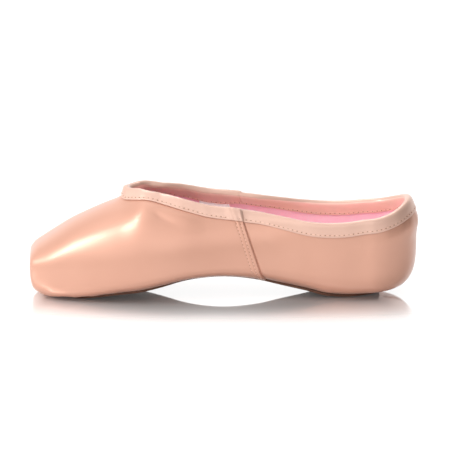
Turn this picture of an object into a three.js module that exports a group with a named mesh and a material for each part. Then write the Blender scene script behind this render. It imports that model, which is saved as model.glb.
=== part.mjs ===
// Pointe shoe standing empty on its sole. It is straight-lasted, so one form serves either foot.
// Millimetres, +Z up, toe towards -X, heel towards +X, mirror plane Y = 0, floor at Z = 0.
import * as THREE from 'three';
import { mergeVertices } from 'three/addons/utils/BufferGeometryUtils.js';

// Driving dimensions
const LENGTH = 230; // toe platform to the back of the heel
const BALL_WIDTH = 72;
const INSTEP_HEIGHT = 64; // floor to the upper's edge beside the throat
const HEEL_HEIGHT = 58; // floor to the upper's edge at the back seam
const ARCH_HEIGHT = 12; // how far the waist of the sole is lifted
const GAP = 0.3; // clearance between pieces that lie on each other

// Walls
const BOX_WALL = 2.6; // glued layers of the toe box
const QUARTER_WALL = 1.6; // satin, canvas and lining of the quarters
const SOLE_THICKNESS = 1.5;
const SOLE_PRESS = 0.35; // how far the flat spots are pressed into the leather
const INSOLE_THICKNESS = 1.5;
const KEEL = SOLE_THICKNESS + GAP - SOLE_PRESS; // underside of the satin where the sole rests

// Places along the foot
const TOE_X = -LENGTH / 2;
const BOX_X = TOE_X + 6; // where the platform's rounded edge runs into the box
const PLATFORM_FLAT = 0.7; // flat share of the platform, the rest is its rounded edge
const PLATFORM_FLAT_TOP = 0.42; // less at the top, where the edge runs on into the vamp
const PLATFORM_ARC = THREE.MathUtils.degToRad(45); // how far that edge turns
const TUCK = 3.4; // how far the platform's foot lies behind its foremost height
const TUCK_HEIGHT = 20;
const TUCK_FADE = 28;
const THROAT_X = -55.5;
const THROAT_ROUND = 13; // length of the throat's rounded front
const THROAT_SHARE = 0.26; // its width there, as a share of the foot's
const HEEL_X = 84; // centre of the heel's round plan
const SOLE_FRONT = -100;
const SOLE_BACK = 92;
const SOLE_ROUND = 16; // length of the sole's rounded ends
const SOLE_MARGIN = 4; // how far the upper is turned in over the sole
const SOLE_POLE = 6; // fans gather this far behind the front of the sole's opening
const THROAT_POLE = 4; // and this far behind the throat's edge
const SEAM_X = 16; // side seam at half height
const SEAM_LEAN = 10; // its foot lies that far back, its head that far forward
const WALL_FADE_FRONT = -89; // the box's layers thin out from here
const WALL_FADE_BACK = -25.5; // to here

// Sections of the last, front to back: at is a share of the length; half, collar and sole are
// shares of half the ball width (widest line, collar edge, outsole); girth and top are shares of
// the instep height (widest line, ridge or collar edge); lift is a share of the arch height;
// under and over are how square the section is below and above its widest line.
const COLUMNS = ['at', 'half', 'girth', 'top', 'collar', 'lift', 'under', 'over', 'sole'];
const SECTIONS = [
  [0.026, 0.6, 0.245, 0.51, 0, -0.02, 4, 2.5, 0.3],
  [0.05, 0.67, 0.245, 0.572, 0, -0.055, 4.6, 2.4, 0.33],
  [0.083, 0.735, 0.245, 0.643, 0, 0, 5, 2.4, 0.375],
  [0.13, 0.817, 0.25, 0.73, 0, 0.02, 4.6, 2.3, 0.46],
  [0.178, 0.889, 0.26, 0.812, 0, 0.12, 4, 2.2, 0.535],
  [0.23, 0.953, 0.275, 0.892, 0, 0.25, 3.4, 2.1, 0.59],
  [0.287, 0.994, 0.29, 0.985, 0.27, 0.36, 2.9, 2.05, 0.583],
  [0.343, 1, 0.312, 0.978, 0.34, 0.59, 2.6, 2, 0.5],
  [0.396, 0.967, 0.336, 0.945, 0.47, 0.84, 2.4, 2, 0.4],
  [0.457, 0.906, 0.352, 0.896, 0.535, 0.99, 2.3, 2, 0.335],
  [0.517, 0.855, 0.359, 0.873, 0.555, 1, 2.3, 2, 0.31],
  [0.587, 0.815, 0.359, 0.84, 0.56, 0.84, 2.3, 2.1, 0.32],
  [0.648, 0.8, 0.352, 0.805, 0.64, 0.57, 2.4, 2.2, 0.37],
  [0.709, 0.806, 0.344, 0.768, 0.735, 0.3, 2.5, 2.3, 0.41],
  [0.761, 0.81, 0.344, 0.753, 0.76, 0.035, 2.6, 2.4, 0.4],
  [0.813, 0.798, 0.352, 0.757, 0.74, 0, 3, 2.4, 0.37],
  [0.865, 0.77, 0.367, 0.78, 0.69, 0.08, 3.6, 2.3, 0.32],
];
// The section through the back seam, along X from the heel's centre
const HEEL_PUFF = 1.3; // satin swelling below the drawn-in binding at the back
const HEEL_PUFF_DEPTH = 13; // its distance from the edge
const HEEL_PUFF_SPREAD = 11;
const BACK = {
  reach: LENGTH / 2 - HEEL_X - HEEL_PUFF,
  girth: 42,
  collar: 0.845,
  keel: 3,
  under: 4.1,
  over: 1.7,
};

// The upper's grid: fans run from the sole's edge up to the collar, round the toe at the front
const FAN_STEPS = 15; // fans round the toe, up to the throat's corner
const FAN_REACH = 1; // how far those go round, as a confocal coordinate
const SIDE_STEPS = 12; // from there to the side seam
const HEEL_STEPS = 15; // from the side seam to the back seam
const WALL_ROWS = 17;
const BAND = 7.8; // width of the binding's outer leg
const BAND_ROWS = 2;
const SEAM_STEP = 0.5; // the vamp lies over the quarter at the side seam
const SEAM_STEP_RUN = 0.9;
const LIP = 4.6; // how far the throat's edge stands up from the line of the vamp
const LIP_LENGTH = 11;
const PLEAT_DEPTH = 0.7; // gathered satin round the front of the sole
const PLEAT_RISE = 9; // pleats are full up to this way from the upper's turned-in edge
const PLEAT_REACH = 15; // and have died out here
const PLEAT_FADE = 3; // fans over which they die out along the foot
const SOLE_CLEAR = 1.5; // the sole's margin stays plain up to this far outside the sole
const SOLE_CLEAR_RUN = 3;

const BINDING_THICKNESS = 0.9;
const BINDING_CROWN = 0.4; // extra fullness over the drawstring
const BINDING_EDGE = 0.9; // share of the thickness left at the shoulders of the fold

const mix = THREE.MathUtils.lerp;
const smooth = THREE.MathUtils.smoothstep;
const HALF_BALL = BALL_WIDTH / 2;
const QUARTER_TURN = Math.PI / 2;
const wallAt = (x) => mix(BOX_WALL, QUARTER_WALL, smooth(x, WALL_FADE_FRONT, WALL_FADE_BACK));

const lastTable = new THREE.CubicInterpolant(
  SECTIONS.map((row) => row[0]),
  SECTIONS.flat(),
  COLUMNS.length,
);

// 0 at the start of a rounded end, 1 once its length is past
function roundEnd(distance, length) {
  const left = 1 - THREE.MathUtils.clamp(distance / length, 0, 1);
  return Math.sqrt(1 - left * left);
}

// Height of the virtual ridge whose section passes through the collar edge
function crownThrough(girth, collar, height, over) {
  return girth + (height - girth) / (1 - collar ** over) ** (1 / over);
}

// Section of the last across the foot at x: m, the share of its radius, runs from 0 on the
// mirror plane to 1 on the widest line
function bodyRing(x) {
  const values = lastTable.evaluate((x - TOE_X) / LENGTH);
  const row = Object.fromEntries(COLUMNS.map((name, i) => [name, values[i]]));
  const half = row.half * HALF_BALL;
  const girth = row.girth * INSTEP_HEIGHT;
  const sole = row.sole * HALF_BALL;
  const open = (sole - SOLE_MARGIN) * roundEnd(x - SOLE_FRONT - SOLE_MARGIN, SOLE_ROUND);
  const collar = Math.max(row.collar / row.half, 0);
  return {
    origin: x,
    along: 0,
    across: half,
    keel: KEEL + row.lift * ARCH_HEIGHT,
    girth,
    crown: crownThrough(girth, collar, row.top * INSTEP_HEIGHT, row.over),
    under: row.under,
    over: row.over,
    foot: open / half,
    head: Math.max(collar, THROAT_SHARE) * roundEnd(x - THROAT_X, THROAT_ROUND),
    sole,
  };
}

// Section of the heel at a turn round its centre, from 0 at the side to a quarter turn at the back
const heelSide = bodyRing(HEEL_X);
function heelRing(turn) {
  const share = Math.sin(turn) ** 2;
  const crown = crownThrough(BACK.girth, BACK.collar, HEEL_HEIGHT, BACK.over);
  const foot = (SOLE_BACK - SOLE_MARGIN - HEEL_X) / BACK.reach;
  return {
    origin: HEEL_X,
    along: BACK.reach * Math.sin(turn),
    across: heelSide.across * Math.cos(turn),
    keel: mix(heelSide.keel, BACK.keel, share),
    girth: mix(heelSide.girth, BACK.girth, share),
    crown: mix(heelSide.crown, crown, share),
    under: mix(heelSide.under, BACK.under, share),
    over: mix(heelSide.over, BACK.over, share),
    foot: mix(heelSide.foot, foot, share),
    head: mix(heelSide.head, BACK.collar, share),
  };
}

// Spreads samples evenly along a superellipse, whose ends are steep
const ease = (t, power) => t ** power / (t ** power + (1 - t) ** power);

function lowerHeight(ring, m) {
  return ring.girth - (ring.girth - ring.keel) * (1 - Math.min(m, 1) ** ring.under) ** (1 / ring.under);
}

// Points of the whole section, from the mirror plane underneath up to the mirror plane on top
const RING_SAMPLES = 48;
function ringPoints(ring) {
  const points = [];
  const add = (m, z) => {
    points.push(new THREE.Vector3(ring.origin + ring.along * m, ring.across * m, z));
  };
  const lower = ring.under / 2;
  const upper = ring.over / 2;
  for (let i = 0; i < RING_SAMPLES; i++) {
    const angle = ease(i / RING_SAMPLES, lower) * QUARTER_TURN;
    const drop = Math.cos(angle) ** (1 / lower);
    add(Math.sin(angle) ** (1 / lower), ring.girth - (ring.girth - ring.keel) * drop);
  }
  for (let i = 0; i <= RING_SAMPLES; i++) {
    const angle = ease(i / RING_SAMPLES, upper) * QUARTER_TURN;
    const rise = Math.sin(angle) ** (1 / upper);
    add(Math.max(Math.cos(angle), 0) ** (1 / upper), ring.girth + (ring.crown - ring.girth) * rise);
  }
  return points;
}

// Running length of a polyline, and the point at a length along it
function measure(points) {
  const run = [0];
  for (let i = 1; i < points.length; i++) {
    run.push(run[i - 1] + points[i].distanceTo(points[i - 1]));
  }
  return run;
}
function pointAt(points, run, length) {
  let i = 1;
  while (i < points.length - 1 && run[i] < length) {
    i += 1;
  }
  const span = run[i] - run[i - 1];
  return points[i - 1].clone().lerp(points[i], span > 0 ? (length - run[i - 1]) / span : 0);
}

// The last as a surface: r is the way back from the platform's middle, v the share of the section
const boxRing = ringPoints(bodyRing(BOX_X));
const platformHeight = (boxRing[0].z + boxRing[boxRing.length - 1].z) / 2;
const PLATFORM_R = 13; // to the end of the platform's flat
const RIM_R = 22; // to the end of its rounded edge
const HEEL_R = RIM_R + HEEL_X - BOX_X;
const HEEL_RUN = 45; // way round the heel from the side to the back seam
const END_R = HEEL_R + HEEL_RUN;

function platformPoint(r, v) {
  const turn = PLATFORM_ARC * THREE.MathUtils.clamp((r - PLATFORM_R) / (RIM_R - PLATFORM_R), 0, 1);
  const flat = mix(PLATFORM_FLAT, PLATFORM_FLAT_TOP, smooth(v, 0.5, 1)); // from the girth up
  const edge = (1 - flat) * (Math.sin(turn) / Math.sin(PLATFORM_ARC));
  const size = flat * Math.min(r / PLATFORM_R, 1) + edge;
  const back = (1 - Math.cos(turn)) / (1 - Math.cos(PLATFORM_ARC));
  const run = measure(boxRing);
  const rim = pointAt(boxRing, run, v * run[run.length - 1]);
  return new THREE.Vector3(mix(TOE_X, BOX_X, back), rim.y * size, mix(platformHeight, rim.z, size));
}

// The platform is domed: its foot and its top edge lie behind its foremost height
function tucked(point) {
  const fade = 1 - smooth(point.x, TOE_X, TOE_X + TUCK_FADE);
  const off = (point.z - TUCK_HEIGHT) / TUCK_HEIGHT;
  return new THREE.Vector3(point.x + TUCK * off * off * fade, point.y, point.z);
}

function ringAt(r) {
  const turn = ((r - HEEL_R) / HEEL_RUN) * QUARTER_TURN;
  return r < HEEL_R ? bodyRing(BOX_X + r - RIM_R) : heelRing(Math.min(turn, QUARTER_TURN));
}

// A point of the closed last, and how far it lies outside the sole's opening or the collar's
function lastPoint(r, v) {
  if (r < RIM_R) {
    return { point: tucked(platformPoint(r, v)), clear: 1 };
  }
  const ring = ringAt(r);
  const points = ringPoints(ring);
  const run = measure(points);
  const point = pointAt(points, run, v * run[run.length - 1]);
  const m = Math.hypot(point.x - ring.origin, point.y) / Math.hypot(ring.along, ring.across);
  return { point: tucked(point), clear: m - (point.z < ring.girth ? ring.foot : ring.head) };
}

// Height of the satin's underside at a place in plan
function underside(x, y) {
  if (x <= HEEL_X) {
    const ring = bodyRing(x);
    return lowerHeight(ring, Math.abs(y) / ring.across);
  }
  const along = (x - HEEL_X) / BACK.reach;
  const across = Math.abs(y) / heelSide.across;
  return lowerHeight(heelRing(Math.atan2(along, across)), Math.hypot(along, across));
}

// Fans are half ellipses laid out flat round the platform's middle. Their two poles lie inside the
// sole's opening and the throat, so they meet both edges squarely. Further back they turn into plain
// sections of the foot.
const FRONT_R = RIM_R + SOLE_FRONT + SOLE_MARGIN + SOLE_POLE - BOX_X;
const THROAT_R = RIM_R + THROAT_X + THROAT_POLE - BOX_X;
const FOCUS = (FRONT_R + THROAT_R) / 2;
const SEAM_R = RIM_R + SEAM_X - BOX_X;
const PLAIN_R = 135; // fans are plain sections from here back
const SEAM_SPREAD = 75; // the seam's lean fades out over this length
const FAN_SAMPLES = 110;
const EDGE_HALVINGS = 20;

// The part of a fan that the upper covers, between the sole's opening and the collar
function fanPoints(reach) {
  const plain = smooth(reach, FOCUS, PLAIN_R);
  const offset = ((THROAT_R - FRONT_R) / 2) * (1 - plain);
  const spread = Math.sqrt(Math.max(reach * reach - FOCUS * FOCUS, 0));
  const nearSeam = 1 - smooth(Math.abs(reach - SEAM_R), 0, SEAM_SPREAD);
  const at = (t) => {
    const turn = mix(-QUARTER_TURN, QUARTER_TURN, t);
    const side = spread * Math.cos(turn);
    const up = reach * Math.sin(turn) + offset;
    const lean = -SEAM_LEAN * nearSeam * Math.sin(turn);
    const r = mix(Math.hypot(side, up), reach, plain) + lean;
    const angle = mix(Math.atan2(up, side), turn, plain);
    return lastPoint(r, angle / Math.PI + 0.5);
  };
  const edge = (outside, inside) => {
    let [low, high] = [outside, inside];
    for (let i = 0; i < EDGE_HALVINGS; i++) {
      const middle = (low + high) / 2;
      [low, high] = at(middle).clear < 0 ? [middle, high] : [low, middle];
    }
    return high;
  };
  const steps = Array.from({ length: FAN_SAMPLES + 1 }, (_, i) => i / FAN_SAMPLES);
  const covered = steps.filter((t) => at(t).clear >= 0);
  const start = edge(covered[0] - 1 / FAN_SAMPLES, covered[0]);
  const end = edge(covered[covered.length - 1] + 1 / FAN_SAMPLES, covered[covered.length - 1]);
  return [start, ...covered, end].map((t) => at(t).point);
}

// Where the fans stand: closer together round the toe and the throat
const fanReach = [];
for (let i = 0; i <= FAN_STEPS; i++) {
  fanReach.push(FOCUS * Math.cosh((FAN_REACH * i) / FAN_STEPS));
}
const sideStart = fanReach[FAN_STEPS];
for (let i = 1; i <= SIDE_STEPS; i++) {
  fanReach.push(mix(sideStart, SEAM_R, i / SIDE_STEPS));
}
const SEAM_FAN = fanReach.length - 1;
fanReach.push(SEAM_R + SEAM_STEP_RUN);
for (let i = 1; i <= HEEL_STEPS; i++) {
  fanReach.push(mix(SEAM_R + SEAM_STEP_RUN, END_R, i / HEEL_STEPS));
}
const BACK_FAN = fanReach.length - 1;
const PUFF_START = SEAM_FAN + HEEL_STEPS / 2; // fans between which the heel's swelling grows
const PUFF_FULL = BACK_FAN - 2;
const ROWS = WALL_ROWS + BAND_ROWS;

// Distance from the collar of each row: even steps up to the binding, then the binding's own rows
function gridRows(points) {
  const run = measure(points);
  const whole = run[run.length - 1];
  const rows = [];
  for (let j = 0; j <= ROWS; j++) {
    const below = ((whole - BAND) * j) / WALL_ROWS;
    const within = whole - BAND + (BAND * (j - WALL_ROWS)) / BAND_ROWS;
    const length = j < WALL_ROWS ? below : within;
    rows.push({ point: pointAt(points, run, length), fromFoot: length, fromHead: whole - length });
  }
  return rows;
}

const mirrored = (p) => new THREE.Vector3(p.x, -p.y, p.z);

// Outward normals of a half grid, whose first and last fans lie on the mirror plane
function gridNormals(grid) {
  return grid.map((fan, i) =>
    fan.map((point, j) => {
      const before = i > 0 ? grid[i - 1][j] : mirrored(grid[1][j]);
      const after = i < BACK_FAN ? grid[i + 1][j] : mirrored(grid[BACK_FAN - 1][j]);
      const along = after.clone().sub(before);
      const up = fan[Math.min(j + 1, ROWS)].clone().sub(fan[Math.max(j - 1, 0)]);
      const normal = up.cross(along).normalize();
      if (i === 0 || i === BACK_FAN) {
        normal.y = 0;
        normal.normalize();
      }
      return normal;
    }),
  );
}

const offsetGrid = (grid, normals, amount) =>
  grid.map((fan, i) => fan.map((point, j) => point.clone().addScaledVector(normals[i][j], amount(i, j))));

// Outer skin: the last, with the throat's lip, the vamp's overlap and the pleats under the toe
const rows = fanReach.map((reach) => gridRows(fanPoints(reach)));
const lastGrid = rows.map((fan) => fan.map((row) => row.point));
lastGrid[0].forEach((point) => point.setY(0));
lastGrid[BACK_FAN].forEach((point) => point.setY(0));

function relief(i, j) {
  const { fromFoot, fromHead } = rows[i][j];
  const lip = LIP * Math.max(1 - fromHead / LIP_LENGTH, 0) ** 2 * (1 - smooth(i, 0, FAN_STEPS));
  const clear = smooth(fromFoot - SOLE_MARGIN - SOLE_CLEAR, 0, SOLE_CLEAR_RUN);
  const overlap = i <= SEAM_FAN ? SEAM_STEP * clear * smooth(i, FAN_STEPS, SEAM_FAN) : 0;
  const outside = clear * (1 - smooth(fromFoot, PLEAT_RISE, PLEAT_REACH));
  const pleat = i % 2 ? PLEAT_DEPTH * outside * (1 - smooth(i, FAN_STEPS - PLEAT_FADE, FAN_STEPS)) : 0;
  const puffed = 1 - smooth(Math.abs(fromHead - HEEL_PUFF_DEPTH), 0, HEEL_PUFF_SPREAD);
  const puff = HEEL_PUFF * puffed * smooth(i, PUFF_START, PUFF_FULL);
  return lip + overlap + pleat + puff;
}
const outer = offsetGrid(lastGrid, gridNormals(lastGrid), relief);
const outerNormals = gridNormals(outer);
const inner = offsetGrid(outer, outerNormals, (i, j) => -wallAt(lastGrid[i][j].x));

// Builds one closed mesh from faces given as corner points, each face with its mirror image
const MERGE_WITHIN = 1e-3;
function mirrorSolid(name, faces, material) {
  const corners = [];
  for (const face of faces) {
    for (let k = 1; k + 1 < face.length; k++) {
      const triangle = [face[0], face[k], face[k + 1]];
      corners.push(...triangle, ...triangle.map(mirrored).reverse());
    }
  }
  const soup = new THREE.BufferGeometry().setFromPoints(corners);
  const geometry = mergeVertices(soup, MERGE_WITHIN);
  const index = Array.from(geometry.index.array);
  const kept = [];
  for (let k = 0; k < index.length; k += 3) {
    const [a, b, c] = index.slice(k, k + 3);
    if (a !== b && b !== c && c !== a) {
      kept.push(a, b, c);
    }
  }
  geometry.setIndex(kept);
  geometry.computeVertexNormals();
  const mesh = new THREE.Mesh(geometry, material);
  mesh.name = name;
  return mesh;
}

function makeUpper() {
  const faces = [];
  for (let i = 0; i < BACK_FAN; i++) {
    for (let j = 0; j < ROWS; j++) {
      faces.push([outer[i][j], outer[i][j + 1], outer[i + 1][j + 1], outer[i + 1][j]]);
      faces.push([inner[i + 1][j], inner[i + 1][j + 1], inner[i][j + 1], inner[i][j]]);
    }
    faces.push([outer[i][0], outer[i + 1][0], inner[i + 1][0], inner[i][0]]);
    faces.push([outer[i][ROWS], inner[i][ROWS], inner[i + 1][ROWS], outer[i + 1][ROWS]]);
  }
  const satin = new THREE.MeshStandardMaterial({ color: 0xe2ae98, roughness: 0.38, metalness: 0 });
  return mirrorSolid('upper', faces, satin);
}

// The binding folds over the collar edge: outer leg, crown, inner leg, then back along the wall
function bindingSection(i) {
  const outside = (k, out) => outer[i][ROWS - k].clone().addScaledVector(outerNormals[i][ROWS - k], out);
  const inside = (k, out) => inner[i][ROWS - k].clone().addScaledVector(outerNormals[i][ROWS - k], -out);
  const up = outer[i][ROWS].clone().sub(outer[i][ROWS - 1]).normalize();
  const raised = (point, rise) => point.addScaledVector(up, rise);
  const skin = GAP + BINDING_THICKNESS;
  const full = skin + BINDING_CROWN;
  const shoulder = skin * BINDING_EDGE;
  return [
    outside(2, GAP),
    outside(2, skin),
    outside(1, full),
    raised(outside(0, shoulder), GAP),
    raised(outside(0, 0).lerp(inside(0, 0), 0.5), skin),
    raised(inside(0, shoulder), GAP),
    inside(1, full),
    inside(2, skin),
    inside(2, GAP),
    inside(1, GAP),
    raised(inside(0, GAP), GAP),
    raised(outside(0, GAP), GAP),
    outside(1, GAP),
  ];
}

function makeBinding() {
  const faces = [];
  const sections = fanReach.map((reach, i) => bindingSection(i));
  for (let i = 0; i < BACK_FAN; i++) {
    sections[i].forEach((point, k) => {
      const next = (k + 1) % sections[i].length;
      faces.push([sections[i][next], sections[i + 1][next], sections[i + 1][k], sections[i][k]]);
    });
  }
  const casing = new THREE.MeshStandardMaterial({ color: 0xebcbb7, roughness: 0.6, metalness: 0 });
  return mirrorSolid('binding', faces, casing);
}

// A plate shaped like the sole: stations closer together at its rounded ends, then rows across
const PLATE_STATIONS = 32;
const PLATE_EVENNESS = 0.55; // 0 gathers the stations at the ends, 1 spaces them evenly
const PLATE_ROWS = 4;
function makePlate(name, size, heights, material) {
  const stations = [];
  for (let i = 0; i <= PLATE_STATIONS; i++) {
    const share = (1 - Math.cos((Math.PI * i) / PLATE_STATIONS)) / 2;
    const x = mix(size.front, size.back, mix(share, i / PLATE_STATIONS, PLATE_EVENNESS));
    const ends = roundEnd(x - size.front, SOLE_ROUND) * roundEnd(size.back - x, SOLE_ROUND);
    const half = (bodyRing(Math.min(x, HEEL_X)).sole + size.grow) * ends;
    const across = [];
    for (let j = 0; j <= PLATE_ROWS; j++) {
      const y = (half * j) / PLATE_ROWS;
      const { low, high } = heights(x, y);
      across.push({ low: new THREE.Vector3(x, y, low), high: new THREE.Vector3(x, y, high) });
    }
    stations.push(across);
  }
  const faces = [];
  for (let i = 0; i < PLATE_STATIONS; i++) {
    const [here, next] = [stations[i], stations[i + 1]];
    for (let j = 0; j < PLATE_ROWS; j++) {
      faces.push([here[j].high, next[j].high, next[j + 1].high, here[j + 1].high]);
      faces.push([here[j].low, here[j + 1].low, next[j + 1].low, next[j].low]);
    }
    const edge = PLATE_ROWS;
    faces.push([here[edge].low, here[edge].high, next[edge].high, next[edge].low]);
  }
  return mirrorSolid(name, faces, material);
}

function makeOutsole() {
  const leather = new THREE.MeshStandardMaterial({ color: 0x7a5440, roughness: 0.75, metalness: 0 });
  const heights = (x, y) => {
    const high = underside(x, y) - GAP;
    return { high, low: Math.max(high - SOLE_THICKNESS, 0) };
  };
  return makePlate('outsole', { front: SOLE_FRONT, back: SOLE_BACK, grow: 0 }, heights, leather);
}

function makeInsole() {
  const board = new THREE.MeshStandardMaterial({ color: 0xd9c3ab, roughness: 0.85, metalness: 0 });
  const slant = 1.12; // the wall measured straight up where the underside slopes
  const trim = 1; // shorter than the outsole at each end, and as much wider at each side
  const heights = (x, y) => {
    const low = underside(x, y) + wallAt(x) * slant + GAP;
    return { low, high: low + INSOLE_THICKNESS };
  };
  const size = { front: SOLE_FRONT + trim, back: SOLE_BACK - trim, grow: trim };
  return makePlate('insole', size, heights, board);
}

const pointeShoe = new THREE.Group();
pointeShoe.name = 'pointe_shoe';
pointeShoe.add(makeUpper(), makeBinding(), makeOutsole(), makeInsole());

export default pointeShoe;
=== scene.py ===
import bpy
import math
import numpy as np
from mathutils import Matrix, Vector


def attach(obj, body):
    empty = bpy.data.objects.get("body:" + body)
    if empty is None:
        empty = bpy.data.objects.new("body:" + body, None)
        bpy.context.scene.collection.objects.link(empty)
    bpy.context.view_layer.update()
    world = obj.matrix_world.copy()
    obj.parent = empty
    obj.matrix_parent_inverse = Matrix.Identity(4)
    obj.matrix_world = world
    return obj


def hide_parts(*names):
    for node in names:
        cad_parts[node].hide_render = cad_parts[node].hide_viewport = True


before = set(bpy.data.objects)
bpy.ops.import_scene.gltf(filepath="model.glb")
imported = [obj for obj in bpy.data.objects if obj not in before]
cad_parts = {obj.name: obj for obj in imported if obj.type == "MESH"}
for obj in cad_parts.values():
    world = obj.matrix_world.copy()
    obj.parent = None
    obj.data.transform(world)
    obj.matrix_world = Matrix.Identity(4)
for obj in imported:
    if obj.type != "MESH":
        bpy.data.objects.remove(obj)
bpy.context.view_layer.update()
bpy.ops.object.select_all(action="DESELECT")

mm = 0.001  # the shoe is worked out in millimetres, toe towards -X, and placed in metres


def ease(x, low, high):
    t = np.clip((np.asarray(x, float) - low) / (high - low), 0, 1)
    return t * t * (3 - 2 * t)


def hump(x, width):
    return np.exp(-np.square(np.asarray(x, float) / width))


def mix(a, b, t):
    return a + (b - a) * t


def roundEnd(distance, length):
    left = 1 - np.clip(distance / length, 0, 1)
    return np.sqrt(1 - left * left)


# The last that the shoe is made on
last = {
    "length": 230, "ballHalf": 36, "instep": 64, "heelHeight": 58, "arch": 12,
    "keel": 1.45,  # satin's underside where the sole rests
    "toeX": -115, "boxX": -109, "heelX": 84,
    "platformFlat": 0.7, "platformFlatTop": 0.42, "platformArc": math.radians(45),
    "tuck": 3.4, "tuckHeight": 20, "tuckFade": 28,
    "throatX": -55.5, "throatRound": 13, "throatShare": 0.26,
    "soleFront": -100, "soleBack": 92, "soleRound": 16, "soleMargin": 4,
    "seamX": 16, "seamLean": 10, "seamSpread": 75,
    "platformR": 13, "rimR": 22, "heelRun": 45, "plainR": 135,
    "solePole": 6, "throatPole": 4,
    "ringSteps": 110,
}
back = {"reach": 29.7, "girth": 42, "collar": 0.845, "keel": 3, "under": 4.1, "over": 1.7}
columns = ("at", "half", "girth", "top", "collar", "lift", "under", "over", "sole")
sections = np.array([
    (0.026, 0.6, 0.245, 0.51, 0, -0.02, 4, 2.5, 0.3),
    (0.05, 0.67, 0.245, 0.572, 0, -0.055, 4.6, 2.4, 0.33),
    (0.083, 0.735, 0.245, 0.643, 0, 0, 5, 2.4, 0.375),
    (0.13, 0.817, 0.25, 0.73, 0, 0.02, 4.6, 2.3, 0.46),
    (0.178, 0.889, 0.26, 0.812, 0, 0.12, 4, 2.2, 0.535),
    (0.23, 0.953, 0.275, 0.892, 0, 0.25, 3.4, 2.1, 0.59),
    (0.287, 0.994, 0.29, 0.985, 0.27, 0.36, 2.9, 2.05, 0.583),
    (0.343, 1, 0.312, 0.978, 0.34, 0.59, 2.6, 2, 0.5),
    (0.396, 0.967, 0.336, 0.945, 0.47, 0.84, 2.4, 2, 0.4),
    (0.457, 0.906, 0.352, 0.896, 0.535, 0.99, 2.3, 2, 0.335),
    (0.517, 0.855, 0.359, 0.873, 0.555, 1, 2.3, 2, 0.31),
    (0.587, 0.815, 0.359, 0.84, 0.56, 0.84, 2.3, 2.1, 0.32),
    (0.648, 0.8, 0.352, 0.805, 0.64, 0.57, 2.4, 2.2, 0.37),
    (0.709, 0.806, 0.344, 0.768, 0.735, 0.3, 2.5, 2.3, 0.41),
    (0.761, 0.81, 0.344, 0.753, 0.76, 0.035, 2.6, 2.4, 0.4),
    (0.813, 0.798, 0.352, 0.757, 0.74, 0, 3, 2.4, 0.37),
    (0.865, 0.77, 0.367, 0.78, 0.69, 0.08, 3.6, 2.3, 0.32),
])
heelR = last["rimR"] + last["heelX"] - last["boxX"]
endR = heelR + last["heelRun"]
seamR = last["rimR"] + last["seamX"] - last["boxX"]
frontR = last["rimR"] + last["soleFront"] + last["soleMargin"] + last["solePole"] - last["boxX"]
throatR = last["rimR"] + last["throatX"] + last["throatPole"] - last["boxX"]
focus = (frontR + throatR) / 2


def sectionAt(x):
    at = sections[:, 0]
    t = np.clip((np.asarray(x, float) - last["toeX"]) / last["length"], at[0], at[-1])
    i = np.clip(np.searchsorted(at, t, side="right") - 1, 0, len(at) - 2)
    step = (at[i + 1] - at[i])[..., None]
    p = (t - at[i])[..., None] / step
    rise = np.diff(sections, axis=0) / np.diff(at)[:, None]
    slope = np.vstack([rise[:1], (rise[1:] + rise[:-1]) / 2, rise[-1:]])
    start = sections[i] * (1 + 2 * p) + slope[i] * step * p
    end = sections[i + 1] * (3 - 2 * p) - slope[i + 1] * step * (1 - p)
    values = start * (1 - p) ** 2 + end * p * p
    return dict(zip(columns, np.moveaxis(values, -1, 0)))


def crownThrough(girth, collar, height, over):
    return girth + (height - girth) / (1 - collar ** over) ** (1 / over)


def ringAt(r):  # a section across the foot, or one turned round the heel
    x = np.minimum(last["boxX"] + r - last["rimR"], last["heelX"])
    turn = np.clip((r - heelR) / last["heelRun"], 0, 1) * math.pi / 2
    share = np.sin(turn) ** 2
    row = sectionAt(x)
    half = row["half"] * last["ballHalf"]
    girth = row["girth"] * last["instep"]
    collar = np.maximum(row["collar"] / row["half"], 0)
    crown = crownThrough(girth, collar, row["top"] * last["instep"], row["over"])
    backCrown = crownThrough(back["girth"], back["collar"], last["heelHeight"], back["over"])
    inset = row["sole"] * last["ballHalf"] - last["soleMargin"]
    front = roundEnd(x - last["soleFront"] - last["soleMargin"], last["soleRound"])
    backFoot = (last["soleBack"] - last["soleMargin"] - last["heelX"]) / back["reach"]
    throat = roundEnd(x - last["throatX"], last["throatRound"])
    return {
        "origin": x,
        "along": back["reach"] * np.sin(turn),
        "across": half * np.cos(turn),
        "keel": mix(last["keel"] + row["lift"] * last["arch"], back["keel"], share),
        "girth": mix(girth, back["girth"], share),
        "crown": mix(crown, backCrown, share),
        "under": mix(row["under"], back["under"], share),
        "over": mix(row["over"], back["over"], share),
        "foot": mix(inset * front / half, backFoot, share),
        "head": mix(np.maximum(collar, last["throatShare"]) * throat, back["collar"], share),
        "sole": row["sole"] * last["ballHalf"],
    }


def ringCurve(ring):  # the whole section, from the middle underneath up to the middle on top
    t = np.linspace(0, 1, last["ringSteps"] + 1)
    halves = []
    for power in ("under", "over"):
        h = ring[power][:, None] / 2
        angle = t ** h / (t ** h + (1 - t) ** h) * math.pi / 2
        halves.append((np.sin(angle) ** (1 / h), np.maximum(np.cos(angle), 0) ** (1 / h)))
    girth = ring["girth"][:, None]
    low = girth - (girth - ring["keel"][:, None]) * halves[0][1][:, :-1]
    high = girth + (ring["crown"][:, None] - girth) * halves[1][0]
    m = np.hstack([halves[0][0][:, :-1], halves[1][1]])
    x = ring["origin"][:, None] + ring["along"][:, None] * m
    return np.stack([x, ring["across"][:, None] * m, np.hstack([low, high])], axis=-1)


def runOf(points):
    steps = np.linalg.norm(np.diff(points, axis=-2), axis=-1)
    return np.concatenate([np.zeros_like(steps[..., :1]), np.cumsum(steps, axis=-1)], axis=-1)


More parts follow.
